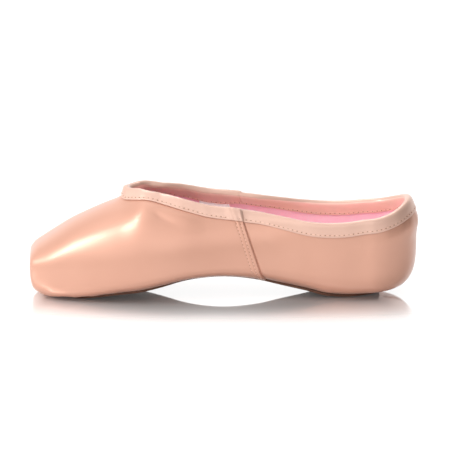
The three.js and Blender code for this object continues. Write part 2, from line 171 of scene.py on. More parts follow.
def pickAlong(points, share):
    run = runOf(points)
    target = share * run[:, -1]
    i = np.clip((run < target[:, None]).sum(1), 1, run.shape[1] - 1)
    n = np.arange(len(i))
    t = (target - run[n, i - 1]) / np.maximum(run[n, i] - run[n, i - 1], 1e-9)
    return mix(points[n, i - 1], points[n, i], t[:, None])


boxCurve = ringCurve(ringAt(np.array([last["rimR"]], float)))[0]
platformHeight = (boxCurve[0, 2] + boxCurve[-1, 2]) / 2


def lastPoint(r, v):  # a point of the closed last, and how far it is outside the openings
    ring = ringAt(np.maximum(r, last["rimR"]))
    point = pickAlong(ringCurve(ring), v)
    m = np.hypot(point[:, 0] - ring["origin"], point[:, 1]) / np.hypot(ring["along"], ring["across"])
    clear = m - np.where(point[:, 2] < ring["girth"], ring["foot"], ring["head"])
    edge = last["rimR"] - last["platformR"]
    turn = last["platformArc"] * np.clip((r - last["platformR"]) / edge, 0, 1)
    flat = mix(last["platformFlat"], last["platformFlatTop"], ease(v, 0.5, 1))
    size = flat * np.minimum(r / last["platformR"], 1)
    size = size + (1 - flat) * np.sin(turn) / math.sin(last["platformArc"])
    away = (1 - np.cos(turn)) / (1 - math.cos(last["platformArc"]))
    onPlatform = r < last["rimR"]
    x = np.where(onPlatform, mix(last["toeX"], last["boxX"], away), point[:, 0])
    y = np.where(onPlatform, point[:, 1] * size, point[:, 1])
    z = np.where(onPlatform, mix(platformHeight, point[:, 2], size), point[:, 2])
    off = (z - last["tuckHeight"]) / last["tuckHeight"]
    x = x + last["tuck"] * off * off * (1 - ease(x, last["toeX"], last["toeX"] + last["tuckFade"]))
    return np.stack([x, y, z], axis=-1), np.where(onPlatform, 1, clear)


def fanPoint(reach, t):  # fans run from the sole's edge to the collar, round the toe at the front
    plain = ease(reach, focus, last["plainR"])
    turn = (t - 0.5) * math.pi
    side = np.sqrt(np.maximum(reach * reach - focus * focus, 0)) * np.cos(turn)
    up = reach * np.sin(turn) + (throatR - frontR) / 2 * (1 - plain)
    lean = last["seamLean"] * (1 - ease(np.abs(reach - seamR), 0, last["seamSpread"])) * np.sin(turn)
    r = mix(np.hypot(side, up), reach, plain) - lean
    angle = mix(np.arctan2(up, side), turn, plain)
    return lastPoint(r, angle / math.pi + 0.5)


def undersideAt(x, y):
    r = np.minimum(x, last["heelX"]) - last["boxX"] + last["rimR"]
    body = ringAt(r)
    along = np.maximum(x - last["heelX"], 0) / back["reach"]
    across = np.abs(y) / body["across"]
    ring = ringAt(r + np.arctan2(along, across) / (math.pi / 2) * last["heelRun"] * (x > last["heelX"]))
    m = np.minimum(np.where(x > last["heelX"], np.hypot(along, across), across), 1)
    drop = (1 - m ** ring["under"]) ** (1 / ring["under"])
    return ring["girth"] - (ring["girth"] - ring["keel"]) * drop


print("last ready")

# The satin upper. Fan numbers: 0 on the toe's middle line, 15 at the throat's corner, 27 on the
# side seam, 43 on the back seam.
upper = {
    "throatFan": 15, "seamFan": 27, "backFan": 43,
    "toeSteps": 72, "sideSteps": 44, "seamSteps": 26, "heelSteps": 58, "backSteps": 10,
    "seamZone": 6.5, "backZone": 4,  # finer steps this far in front of the side and back seams
    "afterSeam": (0.55, 0.8, 1.2, 2, 3), "afterFan": 0.9,  # mm behind the side seam
    "rows": 84, "bandRows": 8, "band": 7.8, "insideRows": 40,
    "boxWall": 2.6, "quarterWall": 1.6, "wallFade": (-89, -25.5),
    "lip": 4.6, "lipLength": 11,
    "overlap": 0.7, "overlapRun": 0.3,
    "undercut": 0.6, "undercutAt": 0.55, "undercutWidth": 0.4,
    "pleat": 0.42, "pleatRise": 9, "pleatReach": 15, "pleatFans": (12, 15),
    "pleatVary": 0.3, "pleatBeat": 2.3,
    "soleClear": 1.5, "soleClearRun": 3,
    "puff": 1.3, "puffDepth": 13, "puffSpread": 11, "puffFans": (34.5, 41),
    "fold": 0.22, "foldWidth": 4.4, "foldSlope": (-0.3, 1.2),
    "groove": 0.3, "grooveWidth": 0.55, "secondRow": 1.9, "secondShare": 0.45, "secondWidth": 0.5,
    "gather": (0.16, 0.1), "gatherBeat": (5.1, 8.3), "gatherShift": (0.7, 1.9),
    "gatherDepth": 11, "gatherSpread": 7, "gatherFans": (37, 41.5), "gatherEnd": (42.6, 43),
    "backRidge": 0.14, "backRidgeAt": 1.6, "backRidgeWidth": 1, "backGroove": 0.34, "backGrooveWidth": 0.5,
    "smoothUnderTape": (7, 9),  # the tape lies smooth over the seams
    "creaseEnds": 0.08, "creaseFans": (3, 8),
}
# Soft creases as paths of (x, mm below the collar edge). A depth below 0 is a ridge; side -1 is the
# one nearest the camera, and 0 is both.
creases = [
    {
        "path": ((-50, 17.5), (-45, 13.5), (-39, 11.8), (-31, 11.5), (-20, 11.5)),
        "depth": -0.5, "width": 4, "side": 0,
    },
    {"path": ((-44, 14), (-37, 16.5), (-29, 17.5)), "depth": 0.5, "width": 2.2, "side": 0},
    {"path": ((-65, 14), (-56, 13), (-48, 10.5)), "depth": 0.3, "width": 4.5, "side": 0},
    {"path": ((83, 15), (78, 26), (74, 37)), "depth": 0.4, "width": 7, "side": -1},
    {"path": ((46, 12), (51, 22), (53, 31)), "depth": 0.22, "width": 6, "side": -1},
    {"path": ((60, 14), (57, 25), (52, 33)), "depth": 0.3, "width": 6, "side": 1},
    {"path": ((19, 11), (22, 16), (26, 24)), "depth": -0.25, "width": 2.6, "side": -1},
]


def fanReach():
    toe = focus * np.cosh(np.linspace(0, 1, upper["toeSteps"] + 1))
    side = np.linspace(toe[-1], seamR - upper["seamZone"], upper["sideSteps"] + 1)[1:]
    near = np.linspace(seamR - upper["seamZone"], seamR, upper["seamSteps"] + 1)[1:]
    after = seamR + np.array([upper["overlapRun"] / 2, upper["overlapRun"], *upper["afterSeam"]])
    heel = np.linspace(after[-1], endR - upper["backZone"], upper["heelSteps"] + 1)[1:]
    rear = np.linspace(endR - upper["backZone"], endR, upper["backSteps"] + 1)[1:]
    return np.concatenate([toe, side, near, after, heel, rear])


def fanNumber(reach):
    front = list(range(upper["throatFan"] + 1))
    known = [focus * math.cosh(i / upper["throatFan"]) for i in front]
    numbers = front + [upper["seamFan"], upper["seamFan"] + 1, upper["backFan"]]
    return np.interp(reach, known + [seamR, seamR + upper["afterFan"], endR], numbers)


def coveredEdges(reaches, samples=120, halvings=22):  # where fans meet the sole's opening and the collar
    steps = np.linspace(0, 1, samples + 1)
    low, high = [], []
    for reach in reaches:
        clear = fanPoint(np.full(samples + 1, reach), steps)[1]
        inside = np.nonzero(clear >= 0)[0]
        low.append(steps[inside[0]])
        high.append(steps[inside[-1]])
    edges = []
    for inside, outside in ((np.array(low), -1 / samples), (np.array(high), 1 / samples)):
        a, b = inside + outside, inside
        for i in range(halvings):
            middle = (a + b) / 2
            out = fanPoint(reaches, middle)[1] < 0
            a, b = np.where(out, middle, a), np.where(out, b, middle)
        edges.append(b)
    return edges


def makeRows(reaches, samples=160):
    start, end = coveredEdges(reaches)
    points, fromFoot, fromHead = [], [], []
    for reach, a, b in zip(reaches, start, end):
        steps = np.linspace(a, b, samples + 1)
        run = runOf(fanPoint(np.full(samples + 1, reach), steps)[0])
        wall = run[-1] - upper["band"]
        length = np.concatenate([
            np.linspace(0, wall, upper["rows"] + 1),
            wall + np.linspace(0, upper["band"], upper["bandRows"] + 1)[1:],
        ])
        t = np.interp(length, run, steps)
        points.append(fanPoint(np.full(len(t), reach), t)[0])
        fromFoot.append(length)
        fromHead.append(run[-1] - length)
    points = np.array(points)
    points[[0, -1], :, 1] = 0
    return points, np.array(fromFoot), np.array(fromHead)


def gridNormals(grid):  # the first and last fans lie on the mirror plane
    flip = np.array([1, -1, 1])
    padded = np.concatenate([grid[1:2] * flip, grid, grid[-2:-1] * flip])
    along = padded[2:] - padded[:-2]
    above = np.concatenate([grid[:, 1:], grid[:, -1:]], axis=1)
    below = np.concatenate([grid[:, :1], grid[:, :-1]], axis=1)
    normal = np.cross(above - below, along)
    normal[[0, -1], :, 1] = 0
    return normal / np.linalg.norm(normal, axis=-1, keepdims=True)


reaches = fanReach()
lastGrid, fromFoot, fromHead = makeRows(reaches)
fans = fanNumber(reaches)[:, None] * np.ones_like(fromFoot)
toSeam = seamR - reaches[:, None] * np.ones_like(fromFoot)  # mm in front of the side seam
toBack = endR - reaches[:, None] * np.ones_like(fromFoot)
lastNormals = gridNormals(lastGrid)


def creaseRelief(side):
    total = np.zeros_like(fromHead)
    here = np.stack([lastGrid[..., 0], fromHead], axis=-1)
    for crease in creases:
        if crease["side"] not in (0, side):
            continue
        path = np.array(crease["path"], float)
        run = runOf(path)
        nearest = np.full(fromHead.shape, np.inf)
        along = np.zeros_like(fromHead)
        for a, b, start, end in zip(path[:-1], path[1:], run[:-1], run[1:]):
            t = np.clip((here - a) @ (b - a) / ((b - a) @ (b - a)), 0, 1)
            off = np.linalg.norm(here - a - t[..., None] * (b - a), axis=-1)
            along = np.where(off < nearest, mix(start, end, t) / run[-1], along)
            nearest = np.minimum(nearest, off)
        fade = np.sin(math.pi * mix(upper["creaseEnds"], 1 - upper["creaseEnds"], along))
        total -= crease["depth"] * hump(nearest, crease["width"]) * fade
    return total * ease(fans, *upper["creaseFans"])


def upperRelief(side):  # what the last's shape takes up, and what is sewn on the outside only
    u = upper
    lip = u["lip"] * np.maximum(1 - fromHead / u["lipLength"], 0) ** 2 * (1 - ease(fans, 0, u["throatFan"]))
    puffed = 1 - ease(np.abs(fromHead - u["puffDepth"]), 0, u["puffSpread"])
    puff = u["puff"] * puffed * ease(fans, *u["puffFans"])
    shifts = u["gatherShift"][0] * side, u["gatherShift"][1]
    waves = zip(u["gather"], u["gatherBeat"], shifts)
    gathers = sum(height * np.sin(fans * beat + shift) for height, beat, shift in waves)
    gathers = gathers * hump(fromHead - u["gatherDepth"], u["gatherSpread"])
    gathers = gathers * ease(fans, *u["gatherFans"]) * (1 - ease(fans, *u["gatherEnd"]))

    clear = ease(fromFoot - last["soleMargin"] - u["soleClear"], 0, u["soleClearRun"])
    before = 1 - ease(-toSeam, 0, u["overlapRun"])
    overlap = u["overlap"] * ease(fans, u["throatFan"], u["seamFan"]) * before
    fold = u["fold"] * (1 - ease(toSeam, *(u["foldWidth"] + v for v in u["foldSlope"]))) * before
    rowMarks = hump(toSeam - u["foldWidth"], u["grooveWidth"])
    rowMarks = u["groove"] * (rowMarks + u["secondShare"] * hump(toSeam - u["secondRow"], u["secondWidth"]))
    undercut = u["undercut"] * hump(toSeam + u["undercutAt"], u["undercutWidth"])
    backSeam = u["backRidge"] * hump(toBack - u["backRidgeAt"], u["backRidgeWidth"])
    backSeam = backSeam - u["backGroove"] * hump(toBack, u["backGrooveWidth"])
    bare = ease(fromHead, *u["smoothUnderTape"])
    sewn = clear * (overlap + fold + bare * (backSeam - rowMarks - undercut))

    pleat = 1 - u["pleatVary"] + u["pleatVary"] * np.sin(fans * u["pleatBeat"])
    pleat = u["pleat"] * pleat * (0.5 - 0.5 * np.cos(math.pi * fans))
    outside = clear * (1 - ease(fromFoot, u["pleatRise"], u["pleatReach"]))
    pleat = pleat * outside * (1 - ease(fans, *u["pleatFans"]))
    return lip + puff + gathers + creaseRelief(side), sewn + pleat


def wallAt(x):
    return mix(upper["boxWall"], upper["quarterWall"], ease(x, *upper["wallFade"]))


def upperSkins(side):
    formed, sewn = upperRelief(side)
    middle = lastGrid + lastNormals * formed[..., None]
    inner = middle - gridNormals(middle) * wallAt(lastGrid[..., :1])
    outer = middle + lastNormals * sewn[..., None]
    return outer, inner, gridNormals(outer)


skins = {side: upperSkins(side) for side in (-1, 1)}
rowCount = lastGrid.shape[1]


def bothSides(part):  # one run of fans: back seam, near side, toe, far side, back seam
    flip = np.array([1, -1, 1])
    near, far = part(-1) * flip, part(1)
    return np.concatenate([near[:0:-1], far])


def shapeGrid(name, points, uv):  # points are rows of a grid, in millimetres
    bpy.ops.object.select_all(action="DESELECT")
    rows, cols = points.shape[:2]
    bpy.ops.mesh.primitive_grid_add(x_subdivisions=cols - 1, y_subdivisions=rows - 1, size=1)
    piece = bpy.context.object
    piece.name = name
    piece.data.name = name
    mesh = piece.data
    mesh.vertices.foreach_set("co", (points * mm).astype(np.float32).ravel())
    corners = np.zeros(len(mesh.loops), np.int32)
    mesh.loops.foreach_get("vertex_index", corners)
    flat = (uv * mm).reshape(-1, 2)[corners].astype(np.float32)
    mesh.uv_layers.active.data.foreach_set("uv", flat.ravel())
    mesh.update()
    bpy.ops.object.shade_smooth()
    return piece


def closeSeams(piece, weld=0.01):
    bpy.context.view_layer.objects.active = piece
    bpy.ops.object.mode_set(mode="EDIT")
    bpy.ops.mesh.select_all(action="SELECT")
    bpy.ops.mesh.remove_doubles(threshold=weld * mm)
    bpy.ops.mesh.normals_make_consistent(inside=False)
    bpy.ops.object.mode_set(mode="OBJECT")


def applyModifier(piece, name, kind, **settings):
    modifier = piece.modifiers.new(name, kind)
    for key, value in settings.items():
        setattr(modifier, key, value)
    bpy.context.view_layer.objects.active = piece
    bpy.ops.object.modifier_apply(modifier=modifier.name)


def keep(piece, slot, *nodes):
    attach(piece, "root")
    if nodes:
        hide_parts(*nodes)


def makeUpper():
    inside = np.linspace(rowCount - 1, 0, upper["insideRows"] + 1).round().astype(int)
    outerAll = bothSides(lambda side: skins[side][0])
    innerAll = bothSides(lambda side: skins[side][1])[:, inside]
    ring = np.concatenate([outerAll, innerAll, outerAll[:, :1]], axis=1)
    run = runOf(outerAll[:, rowCount // 2])
    up = bothSides(lambda side: fromFoot[..., None] * np.ones(3))[..., 0]
    heights = np.concatenate([up, up[:, inside], np.zeros((len(ring), 1))], axis=1)
    uv = np.stack([run[:, None] * np.ones_like(heights), heights], axis=-1)
    piece = shapeGrid("satinUpper", ring.transpose(1, 0, 2), uv.transpose(1, 0, 2))
    faces = piece.data.polygons
    perRow = len(ring) - 1
    lined = np.arange(len(faces)) // perRow >= rowCount
    faces.foreach_set("material_index", lined.astype(np.int32))
    closeSeams(piece)
    return piece


upperPiece = makeUpper()
keep(upperPiece, "satin", "upper")
print("upper ready", len(upperPiece.data.polygons))

# The folded tape round the collar. Profile points: mm below the edge, mm off the upper, which leg
binding = {
    "profile": (
        (7.8, 0.22, 1), (8.1, 0.55, 1), (7.7, 0.95, 1), (6.4, 0.8, 1), (5.2, 1.12, 1), (3.4, 1.45, 1),
        (1.6, 1.5, 1), (0.3, 1.25, 1), (-0.9, 0, 0), (0.3, 1.2, -1), (1.6, 1.35, -1), (3.4, 1.3, -1),
        (5.2, 1.05, -1), (6.6, 0.8, -1), (7.7, 0.9, -1), (8.0, 0.5, -1), (7.8, 0.22, -1), (4, 0.22, -1),
        (0, 0.22, -1), (0, 0.22, 1), (4, 0.22, 1),
    ),
    "stitchRow": 6.4, "insideRow": 6.6,
    "throatWidth": (0.62, 1.04), "throatFans": (1, 9),  # share of its width at the throat and behind
    "insideWide": 1.35, "insideFade": (-5, 8),  # the turned-in leg is wider towards the throat
    "edgeDepth": 0.3, "edgeRise": 0.25,
    "raised": (0.5, 0.8),  # only points this far off the upper are puckered
    "pucker": 0.09, "puckerPitch": 2.8, "puckerWidth": 1.2,
    "drawn": 0.07, "drawnWaves": ((1, 2.7, 1), (0.7, 1.16, 0)), "drawnFans": (8, 15),
    "joinX": 8.5, "joinStep": 0.3, "joinRun": 0.7, "joinFrom": (-9, -5),
    "mapPoint": 4,  # the profile point that the map is measured along
}


def bandPoints(side, below, off, leg):
    outer, inner, normals = skins[side]
    width = mix(*binding["throatWidth"], ease(fans[:, 0], *binding["throatFans"]))
    if leg < 0:
        width = width * mix(binding["insideWide"], 1, ease(lastGrid[:, -1, 0], *binding["insideFade"]))
    row = np.clip(rowCount - 1 - width * below * upper["bandRows"] / upper["band"], 0, rowCount - 1.001)
    i = row.astype(int)
    n = np.arange(len(i))
    t = (row - i)[:, None]
    normal = mix(normals[n, i], normals[n, i + 1], t)
    skin = outer if leg > 0 else inner
    base = mix(skin[n, i], skin[n, i + 1], t) if leg else (outer[:, -1] + inner[:, -1]) / 2
    up = outer[:, -1] - outer[:, -2]
    up = up / np.linalg.norm(up, axis=-1, keepdims=True)
    rise = max(-below, 0) + (binding["edgeRise"] if below <= binding["edgeDepth"] else 0)
    return base + normal * np.reshape(off * leg, (-1, 1)) + up * rise


def makeBinding():
    edge = runOf(skins[1][0][:, -1])
    past = lastGrid[:, -1, 0] - binding["joinX"]
    join = binding["joinStep"] * (1 - ease(past, 0, binding["joinRun"])) * ease(past, *binding["joinFrom"])
    wave = np.sin(2 * math.pi * edge / binding["puckerPitch"])
    drawn = sum(height * np.sin(edge / pitch + shift) for height, pitch, shift in binding["drawnWaves"])
    drawn = binding["drawn"] * drawn * ease(fans[:, 0], *binding["drawnFans"])
    rings = []
    for below, off, leg in binding["profile"]:
        raised = abs(leg) * ease(off, *binding["raised"])
        pucker = binding["pucker"] * wave * hump(below - binding["stitchRow"], binding["puckerWidth"])
        lift = off + raised * (drawn + pucker)
        rings.append(bothSides(lambda side: bandPoints(side, below, lift + raised * join * (side < 0), leg)))
    points = np.array(rings + rings[:1])
    run = runOf(points[binding["mapPoint"]])
    around = runOf(points.transpose(1, 0, 2)).mean(axis=0)
    piece = shapeGrid("collarBinding", points, np.stack(np.meshgrid(run, around), axis=-1))
    legs = [leg for below, off, leg in binding["profile"]]
    # faces of the turned-in leg, which take the lighter painted-light copy of the tape finish
    inside = [int(a < 0 and b < 0) for a, b in zip(legs, legs[1:] + legs[:1])]
    inside = np.repeat(inside, points.shape[1] - 1).astype(np.int32)
    piece.data.polygons.foreach_set("material_index", inside)
    closeSeams(piece)
    applyModifier(piece, "soften", "SUBSURF", levels=1, render_levels=1)
    return piece


bindingPiece = makeBinding()
keep(bindingPiece, "binding_tape", "binding")
print("binding ready", len(bindingPiece.data.polygons))

# Leather outsole and the board inside
sole = {"thickness": 1.5, "gap": 0.3, "stations": 110, "rows": 16}
board = {"thickness": 1.5, "gap": 0.3, "slant": 1.12, "trim": 1, "stations": 90, "rows": 14}
plate = {"evenShare": 0.35, "sharpAngle": math.radians(40)}


def plateGrid(name, front, rear, grow, heights, size):
    t = np.linspace(0, 1, size["stations"] + 1)
    x = mix(front, rear, mix((1 - np.cos(math.pi * t)) / 2, t, plate["evenShare"]))
    ends = roundEnd(x - front, last["soleRound"]) * roundEnd(rear - x, last["soleRound"])
    half = (ringAt(np.minimum(x, last["heelX"]) - last["boxX"] + last["rimR"])["sole"] + grow) * ends
    across = np.linspace(-1, 1, size["rows"] + 1)
    xs = x[:, None] * np.ones_like(across)
    ys = half[:, None] * across
    low, high = (z.reshape(xs.shape) for z in heights(xs.ravel(), ys.ravel()))
    top = np.stack([xs, ys, high], axis=-1)
    bottom = np.stack([xs, ys, low], axis=-1)[:, ::-1]
    ring = np.concatenate([top, bottom, top[:, :1]], axis=1)
    piece = shapeGrid(name, ring, ring[..., :2])
    closeSeams(piece)
    bpy.ops.object.shade_smooth_by_angle(angle=plate["sharpAngle"])
    return piece


def soleHeights(x, y):
    high = undersideAt(x, y) - sole["gap"]
    return np.maximum(high - sole["thickness"], 0), high


def boardHeights(x, y):
    low = undersideAt(x, y) + wallAt(x) * board["slant"] + board["gap"]
    return low, low + board["thickness"]


solePiece = plateGrid("leatherSole", last["soleFront"], last["soleBack"], 0, soleHeights, sole)
boardEnds = last["soleFront"] + board["trim"], last["soleBack"] - board["trim"]
boardPiece = plateGrid("insoleBoard", *boardEnds, board["trim"], boardHeights, board)
keep(solePiece, "sole_leather", "outsole")
keep(boardPiece, "insole_lining", "insole")
print("sole and board ready")

# Plain woven label sewn to the lining, under the binding on the far side
label = {"from": -17, "to": 0.6, "rowsUp": 6, "rowsDown": 20, "off": 0.12, "thickness": 0.25}


def makeLabel():
    inner, normals = skins[1][1:]
    x = lastGrid[:, -1, 0]
    at = np.nonzero((x > label["from"]) & (x < label["to"]))[0]
    rows = slice(rowCount - label["rowsDown"], rowCount - label["rowsUp"])
    points = (inner - normals * label["off"])[at[0]:at[-1] + 1, rows].transpose(1, 0, 2)
    piece = shapeGrid("innerLabel", points[:, ::-1], points[..., [0, 2]][:, ::-1])
    applyModifier(piece, "weave", "SOLIDIFY", thickness=label["thickness"] * mm, offset=1)
    return piece


labelPiece = makeLabel()
keep(labelPiece, "insole_lining")
print("label ready")

# Stitches: a short thread and, at its end, a dark blob of painted shade for the needle hole, copied along
# each row
stitch = {
    "pitch": 2.8, "thread": (0.95, 0.26, 0.2), "holeShadeSize": (0.42, 0.3, 0.16), "segments": 8, "rings": 5,
    "off": 0.86, "reach": 0.4,
    "seamPitch": 2.1, "seamThread": (0.7125, 0.195, 0.15), "seamHoleShadeSize": (0.294, 0.21, 0.112),
    "seamOff": 0.04, "seamFrom": 9.5, "seamTo": 1,
}


def stitchPlaces(points, normals, pitch):
    run = runOf(points)
    count = int(run[-1] // pitch)
    places = []
    for length in (np.arange(count) + 0.5) * run[-1] / count:
        ends = [
            np.array([np.interp(length + step, run, points[:, k]) for k in range(3)])
            for step in (-stitch["reach"], stitch["reach"])
        ]
        normal = Vector([np.interp(length, run, normals[:, k]) for k in range(3)]).normalized()
        along = Vector(ends[1] - ends[0]).normalized()
        across = normal.cross(along).normalized()
        turn = Matrix((along, across, along.cross(across))).transposed().to_4x4()
        places.append((turn, Vector((ends[0] + ends[1]) / 2), along))
    return places


def sewRows(name, size, places, shift):
    bpy.ops.object.select_all(action="DESELECT")
    bpy.ops.mesh.primitive_uv_sphere_add(segments=stitch["segments"], ring_count=stitch["rings"], radius=1)
    first = bpy.context.object
    first.data.transform(Matrix.Diagonal([*(v * mm for v in size), 1]))
    bpy.ops.object.shade_smooth()
    for turn, middle, along in places:
        one = first.copy()
        one.data = first.data.copy()
        one.data.transform(Matrix.Translation((middle + along * shift) * mm) @ turn)
        bpy.context.collection.objects.link(one)
        one.select_set(True)
        bpy.context.view_layer.objects.active = one
    first.select_set(False)
    bpy.ops.object.join()
    piece = bpy.context.object
    piece.name = name
    piece.data.name = name
    bpy.data.objects.remove(first)
    return piece


def collarRow(below, leg):
    points = bothSides(lambda side: bandPoints(side, below, stitch["off"], leg))
    further = bothSides(lambda side: bandPoints(side, below, stitch["off"] + 1, leg))
    return stitchPlaces(points, further - points, stitch["pitch"])


def seamRow(side, ahead):
    outer, normals = skins[side][::2]
    i = int(np.argmin(np.abs(seamR - ahead - reaches)))
    rows = (fromHead[i] > stitch["seamFrom"]) & (fromFoot[i] > last["soleMargin"] + stitch["seamTo"])
    flip = np.array([1, side, 1])
    out = normals[i, rows] * flip
    return stitchPlaces(outer[i, rows] * flip + out * stitch["seamOff"], out, stitch["seamPitch"])


tapeRows = collarRow(binding["stitchRow"], 1) + collarRow(binding["insideRow"], -1)
seamRows = []
for side in (-1, 1):
    for ahead in (upper["foldWidth"], upper["secondRow"]):
        seamRows += seamRow(side, ahead)
tapeThread = sewRows("bindingThread", stitch["thread"], tapeRows, 0)
tapeHoleShade = sewRows("bindingNeedleHoleShade", stitch["holeShadeSize"], tapeRows, stitch["pitch"] / 2)
seamThread = sewRows("seamThread", stitch["seamThread"], seamRows, 0)
seamHoleShade = sewRows("seamNeedleHoleShade", stitch["seamHoleShadeSize"], seamRows, stitch["seamPitch"] / 2)
for piece in (tapeThread, tapeHoleShade):
    keep(piece, "binding_tape")
for piece in (seamThread, seamHoleShade):
    keep(piece, "satin")
print("stitches ready", len(tapeRows) + len(seamRows))

# Finishes. Colours are linear; the weave is laid on each piece's own map
cloth = {
    "coatRoughness": 0.2, "sheenRoughness": 0.4, "sheenTint": (1, 0.9, 0.85), "weaveHeight": 0.00005,
    "yarnStretch": 0.08, "yarnDetail": 1, "toneDetail": 3,
}


def newFinish(name, color, roughness, specular=0.5):
    material = bpy.data.materials.new(name)
    material.use_nodes = True
    shader = material.node_tree.nodes["Principled BSDF"]
    shader.inputs["Base Color"].default_value = (*color, 1)
    shader.inputs["Roughness"].default_value = roughness
    shader.inputs["Specular IOR Level"].default_value = specular
    return material, material.node_tree.nodes, material.node_tree.links, shader


def groupWith(name, inputs, outputs):
    group = bpy.data.node_groups.new(name, "ShaderNodeTree")
    for title, kind, value in inputs:
        socket = group.interface.new_socket(name=title, in_out="INPUT", socket_type="NodeSocket" + kind)
        if value is not None:
            socket.default_value = value
    for title, kind in outputs:
        group.interface.new_socket(name=title, in_out="OUTPUT", socket_type="NodeSocket" + kind)
    return group, group.nodes.new("NodeGroupInput"), group.nodes.new("NodeGroupOutput")


def mathNode(nodes, links, operation, a, b):
    node = nodes.new("ShaderNodeMath")
    node.operation = operation
    for socket, value in zip(node.inputs, (a, b)):
        if isinstance(value, (int, float)):
            socket.default_value = value
        else:
            links.new(value, socket)
    return node.outputs[0]


def makeWeave():
    group, start, end = groupWith(
        "clothWeave",
        (("Vector", "Vector", None), ("Threads", "Float", 800), ("Across", "Float", 0.5)),
        (("Height", "Float"),))
    nodes, links = group.nodes, group.links
    yarns = []
    for stretch in ((1, cloth["yarnStretch"], 1), (cloth["yarnStretch"], 1, 1)):
        lay = nodes.new("ShaderNodeVectorMath")
        lay.operation = "MULTIPLY"
        lay.inputs[1].default_value = stretch
        links.new(start.outputs["Vector"], lay.inputs[0])
        yarn = nodes.new("ShaderNodeTexNoise")
        yarn.inputs["Detail"].default_value = cloth["yarnDetail"]
        links.new(lay.outputs["Vector"], yarn.inputs["Vector"])
        links.new(start.outputs["Threads"], yarn.inputs["Scale"])
        yarns.append(yarn.outputs["Fac"])
    crossed = mathNode(nodes, links, "MULTIPLY", yarns[1], start.outputs["Across"])
    links.new(mathNode(nodes, links, "ADD", yarns[0], crossed), end.inputs["Height"])
    return group


def makeTone():
    group, start, end = groupWith(
        "toneDrift",
        (("Vector", "Vector", None), ("Scale", "Float", 30),
         ("Light", "Color", (1, 1, 1, 1)), ("Deep", "Color", (0, 0, 0, 1))),
        (("Color", "Color"), ("Drift", "Float")))
    nodes, links = group.nodes, group.links
    noise = nodes.new("ShaderNodeTexNoise")
    noise.inputs["Detail"].default_value = cloth["toneDetail"]
    links.new(start.outputs["Vector"], noise.inputs["Vector"])
    links.new(start.outputs["Scale"], noise.inputs["Scale"])
    blend = nodes.new("ShaderNodeMix")
    blend.data_type = "RGBA"
    links.new(noise.outputs["Fac"], blend.inputs["Factor"])
    links.new(start.outputs["Deep"], blend.inputs["A"])
    links.new(start.outputs["Light"], blend.inputs["B"])
    links.new(blend.outputs["Result"], end.inputs["Color"])
    links.new(noise.outputs["Fac"], end.inputs["Drift"])
    return group


clothWeave = makeWeave()
toneDrift = makeTone()


def addTone(nodes, links, place, shader, look):
    tone = nodes.new("ShaderNodeGroup")
    tone.node_tree = toneDrift
    tone.inputs["Scale"].default_value = look["toneScale"]
    tone.inputs["Light"].default_value = (*look["light"], 1)
    tone.inputs["Deep"].default_value = (*look["deep"], 1)
    links.new(place.outputs["Object"], tone.inputs["Vector"])
    links.new(tone.outputs["Color"], shader.inputs["Base Color"])
    return tone


def addRelief(nodes, links, shader, height, strength, distance):
    relief = nodes.new("ShaderNodeBump")
    relief.inputs["Strength"].default_value = strength
    relief.inputs["Distance"].default_value = distance
    links.new(height, relief.inputs["Height"])
    links.new(relief.outputs["Normal"], shader.inputs["Normal"])


def clothFinish(name, look):
    material, nodes, links, shader = newFinish(name, look["light"], look["roughness"], look["specular"])
    shader.inputs["Metallic"].default_value = look["metallic"]
    shader.inputs["Coat Weight"].default_value = look["coat"]
    shader.inputs["Coat Roughness"].default_value = cloth["coatRoughness"]
    shader.inputs["Sheen Weight"].default_value = look["sheen"]
    shader.inputs["Sheen Roughness"].default_value = cloth["sheenRoughness"]
    shader.inputs["Sheen Tint"].default_value = (*cloth["sheenTint"], 1)
    for socket, value in look.get("extra", {}).items():
        shader.inputs[socket].default_value = value
    place = nodes.new("ShaderNodeTexCoord")
    tone = addTone(nodes, links, place, shader, look)
    spread = nodes.new("ShaderNodeMapRange")
    spread.inputs["To Min"].default_value = look["roughness"] - look["roughDrift"]
    spread.inputs["To Max"].default_value = look["roughness"] + look["roughDrift"]
    links.new(tone.outputs["Drift"], spread.inputs["Value"])
    links.new(spread.outputs["Result"], shader.inputs["Roughness"])
    weave = nodes.new("ShaderNodeGroup")
    weave.node_tree = clothWeave
    weave.inputs["Threads"].default_value = look["threads"]
    weave.inputs["Across"].default_value = look["across"]
    links.new(place.outputs["UV"], weave.inputs["Vector"])
    addRelief(nodes, links, shader, weave.outputs["Height"], look["weaveStrength"], cloth["weaveHeight"])
    return material


satinLook = {
    "light": (0.67, 0.355, 0.255), "deep": (0.595, 0.3, 0.21), "toneScale": 22,
    "roughness": 0.33, "roughDrift": 0.03, "specular": 0.6, "sheen": 0.1, "metallic": 0.3, "coat": 0.2,
    "threads": 1500, "across": 0.25, "weaveStrength": 0.1,
}
tapeLook = {
    "light": (0.74, 0.48, 0.385), "deep": (0.65, 0.4, 0.31), "toneScale": 40,
    "roughness": 0.36, "roughDrift": 0.06, "specular": 0.5, "sheen": 0.25, "metallic": 0.3, "coat": 0.3,
    "threads": 900, "across": 0.6, "weaveStrength": 0.3,
}
# painted light: the turned-in leg is the same tape, given a lighter colour to make up for the shade inside
# the collar
tapeInsidePaintedLightLook = {**tapeLook, "light": (0.96, 0.66, 0.56), "deep": (0.9, 0.58, 0.48)}
liningLook = {
    "light": (1, 0.64, 0.71), "deep": (0.97, 0.57, 0.65), "toneScale": 60,
    "roughness": 0.8, "roughDrift": 0.05, "specular": 0.3, "sheen": 0.2, "metallic": 0, "coat": 0,
    "threads": 700, "across": 1, "weaveStrength": 0.5,
    "extra": {  # light comes through the thin cloth
        "Subsurface Weight": 0.6, "Subsurface Radius": (1, 0.55, 0.6), "Subsurface Scale": 0.004,
    },
}
